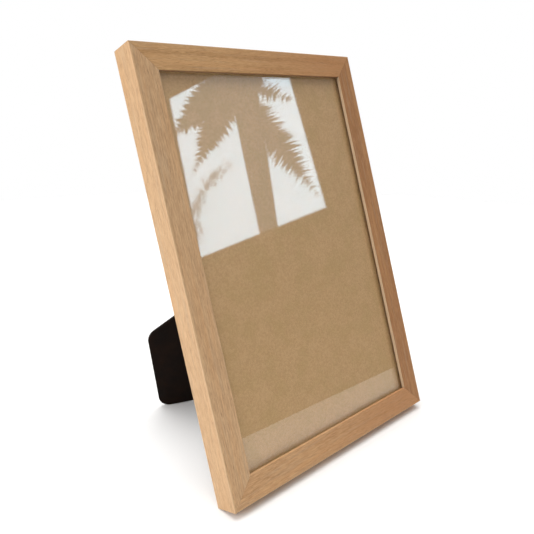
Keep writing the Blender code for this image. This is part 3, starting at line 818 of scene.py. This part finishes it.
def v_outline(thick, leg):
    """A V about the origin that opens along +x, as points of (x, 0, z)."""
    half = thick / 2
    nose = half / math.sin(NAIL_SPREAD)
    tips = []
    for sign in (1, -1):
        arm = Vector((math.cos(NAIL_SPREAD), sign * math.sin(NAIL_SPREAD)))
        across = Vector((-arm.y, arm.x)) * half * sign
        tips.append((arm * leg - across, arm * leg + across))
    (near_out, near_in), (far_out, far_in) = tips
    outline = [Vector((-nose, 0)), near_in, near_out, Vector((nose, 0)), far_out, far_in]
    return [(p.x, 0, p.y) for p in outline]


def corner_nails(material):
    """Rings of four strips, one strip in each corner, that step inwards."""
    net, start, size, end = recipe("corner_nails", material, Width=WIDTH, Height=HEIGHT, First=NAIL_FIRST,
                                   Step=NAIL_STEP, Front=NAIL_FRONT, Deep=NAIL_DEEP)
    index = net.node("GeometryNodeInputIndex")
    which = net.math("MODULO", index, CORNERS)
    at = size["First"] + size["Step"] * net.math("FLOOR", (index + 0.5) / CORNERS)
    right = net.math("FLOOR", (which + 0.5) / 2)
    top = net.math("MODULO", which + right, 2)
    x = (right * 2 - 1) * (size["Width"] * 0.5 - at)
    z = (top * 2 - 1) * (size["Height"] * 0.5 - at) + size["Height"] * 0.5
    points = net.node("GeometryNodeMeshLine", None, {"Count": CORNERS * RINGS}, "Mesh")
    points = moved(points, net.xyz(x, size["Front"], z))
    turn = net.math("ARCTAN2", 1 - top * 2, right * 2 - 1)
    return end(copies(points, thickened(start, size["Deep"]), Rotation=net.xyz(0, turn, 0)))


nail_recipe = corner_nails(strip_steel)
v_nails = grow(nail_recipe, face_of(v_outline(NAIL_THICK, NAIL_LEG)))
slot_outline = v_outline(NAIL_THICK + SLOT_WIDER, NAIL_LEG + SLOT_LONGER)
slots_mesh = grow(nail_recipe, face_of(slot_outline), Front=NAIL_FRONT - SLOT_LONGER,
                  Deep=NAIL_DEEP + SLOT_PAST)
place_piece("corner_v_nails", v_nails, stand, "frame",
            [n for n in frame["nodes"] if n.startswith("vnail_")], edge=0.08, steps=1)
print("slots", len(slots_mesh.polygons), "faces")

# %% [markdown]
# ## Mouths for the spring points
# The root of every spring point sits in a small mouth in the rebate wall, cut with the same driver that
# pushes the point in. The mouths and the V-nail slots are cut out of the rails together.

# %% Cutter for the rails
POINT_WIDE, POINT_THICK, POINT_OUT, POINT_ROOT = 7.0 * MM, 0.45 * MM, 9.0 * MM, 1.2 * MM
MOUTH_FORE, MOUTH_REAR, MOUTH_PLAY, MOUTH_DEEPER = 1.7 * MM, 0.75 * MM, 0.2 * MM, 0.4 * MM
rear = (tilt @ Vector((0, 1, 0))).normalized()
point_joints = {j["child"]: j for j in frame["joints"] if j["child"].startswith("point_")}


def point_place(joint):
    """Axes of a spring point at its root: x along the wall, y to the rear, z out of the wall."""
    axis = Vector(joint["axis"]).normalized()
    columns = Matrix((-axis, rear, rear.cross(axis))).transposed().to_4x4()
    return Matrix.Translation(joint["pos_m"]) @ columns


def add_block(builder, low, high, place):
    """A box between two corners in the axes of `place`."""
    middle, size = (Vector(low) + Vector(high)) / 2, Vector(high) - Vector(low)
    block = place @ Matrix.Translation(middle) @ Matrix.Diagonal((*size, 1))
    bmesh.ops.create_cube(builder, size=1, matrix=block)


def add_mouths(builder):
    """Welds the slots and adds a block for every mouth."""
    bmesh.ops.remove_doubles(builder, verts=builder.verts, dist=WELD)
    half = POINT_WIDE / 2 + MOUTH_PLAY
    for joint in point_joints.values():
        low = (-half, -MOUTH_FORE, -POINT_ROOT - MOUTH_DEEPER)
        add_block(builder, low, (half, MOUTH_REAR, MM), point_place(joint))
    bmesh.ops.recalc_face_normals(builder, faces=builder.faces)


slots_mesh.transform(stand)
cutter = linked("cutter", reworked(slots_mesh, add_mouths))
print("mouths for", len(point_joints), "points")

# %% Four rails
MITRE_GAP, STICK_ROWS = 0.03 * MM, 13


def keep_mitre(mesh, side):
    """Stores each point's distance from the nearer mitre, in millimetres, for the glue line."""
    back = rail_place(side).inverted()
    near = mesh.attributes.new("mitre", "FLOAT", "POINT")
    own = [back @ v.co for v in mesh.vertices]
    near.data.foreach_set("value", [(LENGTHS[side] / 2 - p.z - abs(p.x)) / math.sqrt(2) / MM for p in own])


for side in RAILS:
    seed = face_of([(0, depth, inward) for inward, depth in section_points])
    mesh = grow(mitred_stick(OAK[side]), seed, Length=LENGTHS[side], Gap=MITRE_GAP, Rows=STICK_ROWS,
                Around=len(section_points))
    rail = place_piece(side + "_moulding", mesh, rail_place(side), "frame", [side + "_rail"],
                       edge=0.06, steps=1, cutter=cutter, break_at=44)
    keep_mitre(rail.data, side)
bpy.data.objects.remove(cutter)

# %% [markdown]
# ## Glass and board
# Both sheets are cut to drop into the rebate. The pane's edges are ground off so that they do not cut,
# and the board's edges stay a little fuzzy. The board is bare brown in front, where it shows through the
# glass, and covered in black paper behind.

# %% Sheets
def sheet_mesh(low, high, corner_r):
    """A flat plate with slightly rounded corners, in the frame's axes."""
    corners = [(low.x, low.z), (high.x, low.z), (high.x, high.z), (low.x, high.z)]
    outline = rounded(corners, [corner_r] * 4, 4)
    return slab(*([(x, y, z) for x, z in outline] for y in (low.y, high.y)))


PANE_CORNER, BOARD_CORNER, FLAT_ON = 0.6 * MM, 0.8 * MM, 0.9
pane_mesh = sheet_mesh(glass_low, glass_high, PANE_CORNER)
pane_mesh.materials.append(glass_clear)
place_piece("picture_pane", pane_mesh, stand, "frame", ["glass_pane"], edge=0.25)

board_mesh = sheet_mesh(board_low, board_high, BOARD_CORNER)
for finish in (bare_board, black_back, core_edge):
    board_mesh.materials.append(finish)
FRONT_SIDE, REAR_SIDE, EDGE_SIDE = range(3)
board = place_piece("picture_board", board_mesh, stand, "frame", ["backing_board"], edge=0.2)
for face in board.data.polygons:
    facing = face.normal.dot(rear)
    face.material_index = REAR_SIDE if facing > FLAT_ON else FRONT_SIDE if facing < -FLAT_ON else EDGE_SIDE
print("board finishes", [m.name for m in board.data.materials])

# %% [markdown]
# ## Spring points
# Flat steel points keep the board in and bend up to let it out. Each is a strip with a rounded nose and a
# rib pressed along it for stiffness. One recipe shapes a grid by rule: the width follows the nose's
# radius and the height follows the rib.

# %% Spring point recipe
POINT_NOSE, POINT_RIB, TAB_COLUMNS, TAB_ROWS = 2.2 * MM, 0.4 * MM, 21, 33
RIB_EDGE, RIB_START, RIB_END = (1.1 * MM, 0.3 * MM), (1.2 * MM, 2.4 * MM), (1.2 * MM, 2.6 * MM)


def spring_tab(material):
    """A strip along z with a rounded nose and a pressed rib."""
    net, _, size, end = recipe("spring_tab", material, Wide=POINT_WIDE, Out=POINT_OUT, Root=POINT_ROOT,
                               Nose=POINT_NOSE, Rib=POINT_RIB, Thick=POINT_THICK)
    u, v, _ = net.parts(net.node("GeometryNodeInputPosition"))
    run = (v + 0.5) * (size["Out"] + size["Root"]) - size["Root"]
    drop = corner_drop(net, run - (size["Out"] - size["Nose"]), size["Nose"])
    across = u * (size["Wide"] - drop * 2)
    rib = net.ease(abs(across), *RIB_EDGE) * net.ease(run, *RIB_START)
    rib = rib * net.ease(run, *(size["Out"] - short for short in RIB_END))
    place = net.xyz(across, size["Thick"] * -0.5 + rib * size["Rib"], run)
    return end(thickened(moved(grid_of(net, TAB_COLUMNS, TAB_ROWS), place), size["Thick"]))


tab = spring_tab(spring_steel)
for body, joint in point_joints.items():
    place_piece("spring_tab_" + body.removeprefix("point_"), grow(tab, face_of([])), point_place(joint), body,
                ["spring_" + body], edge=0.06, steps=1, break_at=60)

# %% [markdown]
# ## Sawtooth hangers
# Two toothed strips let the frame hang from a nail, upright or on its side. A strip is a thin grid: the
# teeth are a zigzag on its inner edge, it bows off the wood between its nails, and its ends are rounded.

# %% Hanger recipe
SAW_LONG, SAW_HIGH, SAW_THICK, SAW_BOW, SAW_ROUND = 44 * MM, 8.5 * MM, 0.8 * MM, 1.6 * MM, 1.8 * MM
TOOTH_DEEP, TOOTH_PITCH, TEETH_HALF, SAW_NAIL = 1.5 * MM, 2 * MM, 11 * MM, 18.5 * MM
BOW_ENDS = (15 * MM, 11 * MM)
SAW_COLUMNS, SAW_ROWS = 177, 9      # four columns to a millimetre, so that the teeth come out sharp


def toothed_strip(material):
    """A strip along x with rounded ends, a toothed edge and a bow between its nails."""
    net, _, size, end = recipe("toothed_strip", material, Long=SAW_LONG, High=SAW_HIGH, Thick=SAW_THICK,
                               Bow=SAW_BOW, Pitch=TOOTH_PITCH, Tooth=TOOTH_DEEP, Run=TEETH_HALF)
    u, v, _ = net.parts(net.node("GeometryNodeInputPosition"))
    x = u * size["Long"]
    away = abs(x)
    zigzag = net.math("PINGPONG", x + size["Pitch"] * 8, size["Pitch"] * 0.5) / (size["Pitch"] * 0.5)
    toothed = net.math("LESS_THAN", away, size["Run"] + 0.01 * MM)
    drop = corner_drop(net, away - (size["Long"] * 0.5 - SAW_ROUND), SAW_ROUND)
    low = drop - size["High"] * 0.5
    high = size["High"] * 0.5 - drop - (1 - zigzag) * toothed * size["Tooth"]
    bow = net.ease(away, *BOW_ENDS) * size["Bow"]
    place = net.xyz(x, bow, low + (v + 0.5) * (high - low))
    return end(thickened(moved(grid_of(net, SAW_COLUMNS, SAW_ROWS), place), size["Thick"]))


strip = toothed_strip(brass)
for side in ("top", "right"):
    place = rail_place(side) @ Matrix.Translation((0, DEPTH + PLAY, WALL / 2))
    place_piece(side + "_saw_hanger", grow(strip, face_of([])), place, "frame",
                [side + "_hanger"], edge=0.1, steps=1, break_at=50)

# %% [markdown]
# ## Turned fittings
# Nails, rivets and the hinge pin are all round, so one recipe turns them: it spins a half section about
# its axis and repeats the result along a line as often as the piece needs.

# %% Turning recipe
def turned_row(material):
    """The starting mesh, a half section, spun about z and repeated along x."""
    net, start, size, end = recipe("turned_row", material, Around=32, Profile=8, Count=2, Spacing=0.02)
    around, profile = size["Around"], size["Profile"]
    index = net.node("GeometryNodeInputIndex")
    step = net.math("FLOOR", (index + 0.5) / profile)
    radius, _, height = net.parts(section_point(net, start, index - step * profile))
    turn = step / around * (2 * math.pi)
    spot = net.xyz(radius * net.math("COSINE", turn), radius * net.math("SINE", turn), height)
    spun = moved(grid_of(net, around + 1, profile), spot)
    spun = net.node("GeometryNodeMergeByDistance", None, {"Geometry": spun, "Distance": WELD})
    first = size["Spacing"] * (size["Count"] - 1) * -0.5
    return end(copies(row_of(net, size["Count"], first, size["Spacing"]), spun))


def turned(material, points, count=1, spacing=0.0):
    """Turned pieces from a half section of (radius, height) in millimetres."""
    seed = bpy.data.meshes.new("profile")
    edges = [(i, i + 1) for i in range(len(points) - 1)]
    seed.from_pydata([(r * MM, 0, h * MM) for r, h in points], edges, [])
    return grow(turned_row(material), seed, Profile=len(points), Count=count, Spacing=spacing)


# Heights run from the tip of the fitting to its head.
HANGER_NAIL = [(0, -9.0), (0.25, -8.6), (0.6, -7.6), (0.6, -0.1), (1.42, -0.1), (1.5, 0.0), (1.5, 0.18),
               (1.36, 0.36), (1.0, 0.50), (0.5, 0.58), (0, 0.6)]
HEAD_TO_REAR = Matrix.Rotation(math.radians(-90), 4, "X")
nail_seat = Matrix.Translation((0, DEPTH + 2 * PLAY + SAW_THICK, WALL / 2)) @ HEAD_TO_REAR
for side in ("top", "right"):
    place_piece(side + "_hanger_nails", turned(aged_brass, HANGER_NAIL, 2, 2 * SAW_NAIL),
                rail_place(side) @ nail_seat, "frame",
                [f"{side}_hanger_nail_{i}" for i in (1, 2)], edge=0)

# %% [markdown]
# ## The hinge
# The leg hangs on a pressed steel hinge. The record of the joint gives the pin's place and direction.
# Each leaf is a plate whose edge is cut into tabs, and each tab is curled round the pin into a knuckle.
# The board's leaf has three knuckles and the leg's has two between them. Two tongues on the leg's leaf
# bear on the board's leaf and stop the leg where it stands.

# %% Hinge axes
LEG_OPEN = math.radians(41.75)
KNUCKLE_R, LEAF_THICK, HINGE_LONG, KNUCKLES = 2.2 * MM, 0.8 * MM, 38 * MM, 5
KNUCKLE_STEP, KNUCKLE_PLAY, CURL, CURL_STEPS = HINGE_LONG / KNUCKLES, 0.3 * MM, math.radians(285), 28
swing = next(j for j in frame["joints"] if j["name"] == "leg_swing")
pin_axis = Vector(swing["axis"]).normalized()
hinge_columns = Matrix((pin_axis, rear, pin_axis.cross(rear))).transposed().to_4x4()
hinge = Matrix.Translation(swing["pos_m"]) @ hinge_columns
leg_axes = hinge @ Matrix.Rotation(LEG_OPEN, 4, "X")


def hinge_leaf(material):
    """A plate with curled knuckles. The seed is the plate's outline, at the plate's inner face."""
    net, start, size, end = recipe("hinge_leaf", material, Thick=LEAF_THICK, Radius=KNUCKLE_R,
                                   Step=KNUCKLE_STEP, First=0.0, Count=3, Turn=math.pi, Curl=CURL)
    bend = {"Resolution": CURL_STEPS, "Radius": size["Radius"] - size["Thick"] * 0.5,
            "Start Angle": size["Turn"], "Sweep Angle": size["Curl"]}
    curl = net.node("GeometryNodeCurveArc", {"mode": "RADIUS"}, bend, "Curve")
    tab = net.node("GeometryNodeCurvePrimitiveQuadrilateral", {"mode": "RECTANGLE"},
                   {"Width": size["Thick"], "Height": size["Step"] - KNUCKLE_PLAY}, "Curve")
    sweep = {"Curve": curl, "Profile Curve": tab, "Fill Caps": True}
    rolled = net.node("GeometryNodeCurveToMesh", None, sweep)
    upright = {"Geometry": rolled, "Rotation": (math.pi / 2, 0, math.pi / 2)}
    rolled = net.node("GeometryNodeTransform", None, upright)
    row = row_of(net, size["Count"], size["First"], size["Step"] * 2)
    return end(joined(thickened(start, size["Thick"]), copies(row, rolled)))


print("pin at", [round(c, 4) for c in swing["pos_m"]])

# %% Leaves
BOARD_LEAF_LONG, LEG_LEAF_LONG, LEAF_CUT = 20 * MM, 24 * MM, KNUCKLE_R + 0.5 * MM
LEAF_RADII = (0.1 * MM, 4 * MM, 4 * MM, 0.1 * MM)
BOARD_KNUCKLES, LEG_KNUCKLES = (0, 2, 4), (1, 3)
TONGUE_LOW, TONGUE_HIGH = Vector((-2.5, -1.1, 1.5)) * MM, Vector((2.5, -0.3, 5.5)) * MM
leaf_recipe = hinge_leaf(zinc)


def knuckle_middle(i):
    return -HINGE_LONG / 2 + (i + 0.5) * KNUCKLE_STEP


def leaf_mesh(long, sign, inner, knuckles, turn):
    """A leaf, cut back between its tabs. sign is 1 where it runs up from the pin."""
    half = HINGE_LONG / 2
    outline = rounded([(half, LEAF_CUT), (half, long), (-half, long), (-half, LEAF_CUT)], LEAF_RADII)
    for i in knuckles:
        low, high = (knuckle_middle(i) + end * (KNUCKLE_STEP - KNUCKLE_PLAY) / 2 for end in (-1, 1))
        outline += [(low, LEAF_CUT), (low, 0.0), (high, 0.0), (high, LEAF_CUT)]
    unique = [p for i, p in enumerate(outline) if (Vector(p) - Vector(outline[i - 1])).length > WELD / 2]
    return grow(leaf_recipe, face_of([(x, inner, sign * z) for x, z in unique]), Count=len(knuckles),
                First=knuckle_middle(knuckles[0]), Turn=turn)


def add_tongues(builder):
    """The tongues of the leg's leaf, which bear on the board's leaf when the leg is open."""
    for i in LEG_KNUCKLES:
        middle = Vector((knuckle_middle(i), 0, 0))
        add_block(builder, middle + TONGUE_LOW, middle + TONGUE_HIGH, Matrix.Rotation(-LEG_OPEN, 4, "X"))


board_leaf = leaf_mesh(BOARD_LEAF_LONG, 1, -KNUCKLE_R, BOARD_KNUCKLES, math.pi)
place_piece("board_hinge_leaf", board_leaf, hinge, "frame", ["hinge_board_leaf"], edge=0.1)
leg_leaf = reworked(leaf_mesh(LEG_LEAF_LONG, -1, KNUCKLE_R - LEAF_THICK, LEG_KNUCKLES, 0.0), add_tongues)
place_piece("leg_hinge_leaf", leg_leaf, leg_axes, "leg", ["hinge_leg_leaf"], edge=0.1)

# %% Pin and rivets
PIN_HALF = HINGE_LONG / 2 / MM + 0.3
PIN_HEAD = [(0, 0.8), (0.9, 0.78), (1.4, 0.62), (1.66, 0.36), (1.7, 0.0), (0.9, 0.0)]
PIN = [(r, -PIN_HALF - h) for r, h in PIN_HEAD] + [(r, PIN_HALF + h) for r, h in reversed(PIN_HEAD)]
place_piece("hinge_wire", turned(wire_steel, PIN), hinge @ Matrix.Rotation(math.radians(90), 4, "Y"), "frame",
            ["hinge_pin"], edge=0)

DOME = [(1.5, 0.0), (3.1, 0.0), (3.2, 0.1), (3.2, 0.28), (3.08, 0.48), (2.75, 0.72), (2.2, 0.93), (1.5, 1.05),
        (0.7, 1.1), (0, 1.1)]
BLIND_FOOT = [(0, -3.6), (1.2, -3.6), (1.5, -3.3)]
PEENED_FOOT = [(0, -5.45), (0.8, -5.42), (1.7, -5.3), (2.3, -5.05), (2.56, -4.75), (2.5, -4.7), (1.5, -4.7)]
RIVET_GAUGE, BOARD_RIVET_UP, LEG_RIVET_DOWN = 24 * MM, 13 * MM, 17 * MM
board_seat = Matrix.Translation((0, LEAF_THICK - KNUCKLE_R + PLAY, BOARD_RIVET_UP)) @ HEAD_TO_REAR
leg_seat = Matrix.Translation((0, KNUCKLE_R + PLAY, -LEG_RIVET_DOWN)) @ HEAD_TO_REAR
place_piece("board_leaf_rivets", turned(zinc, BLIND_FOOT + DOME, 2, RIVET_GAUGE), hinge @ board_seat, "frame",
            ["board_rivet_1", "board_rivet_2"], edge=0)
place_piece("leg_leaf_rivets", turned(zinc, PEENED_FOOT + DOME, 2, RIVET_GAUGE), leg_axes @ leg_seat, "leg",
            ["leg_rivet_1", "leg_rivet_2"], edge=0)

# %% [markdown]
# ## The leg
# The leg is a flat board, narrow at the hinge and widest above a blunt point. The point has one edge for
# each way of standing, so the frame can stand upright or on its side. It is black on both faces.

# %% Leg
LEG_TOP_HALF, LEG_WIDE_HALF, LEG_TOP, LEG_WIDE_AT, LEG_TIP = (v * MM for v in (21.6, 61.1, 3.2, 171.0, 228.4))
LEG_REAR, LEG_THICK = 1.1 * MM, 3.0 * MM
LEG_RADII = [r * MM for r in (4, 4, 13, 11, 13)]
leg_corners = ((-LEG_TOP_HALF, LEG_TOP), (LEG_TOP_HALF, LEG_TOP), (LEG_WIDE_HALF, LEG_WIDE_AT),
               (0.0, LEG_TIP), (-LEG_WIDE_HALF, LEG_WIDE_AT))
leg_outline = rounded(leg_corners, LEG_RADII, 20)
leg_mesh = slab(*([(a, y, -b) for a, b in leg_outline] for y in (LEG_REAR - LEG_THICK, LEG_REAR)))
leg_mesh.materials.append(black_leg)
place_piece("stand_leg", leg_mesh, leg_axes, "leg", ["easel_leg"], edge=0.4, steps=3)

# %% [markdown]
# ## Last update

# %% Sizes
bpy.context.view_layer.update()
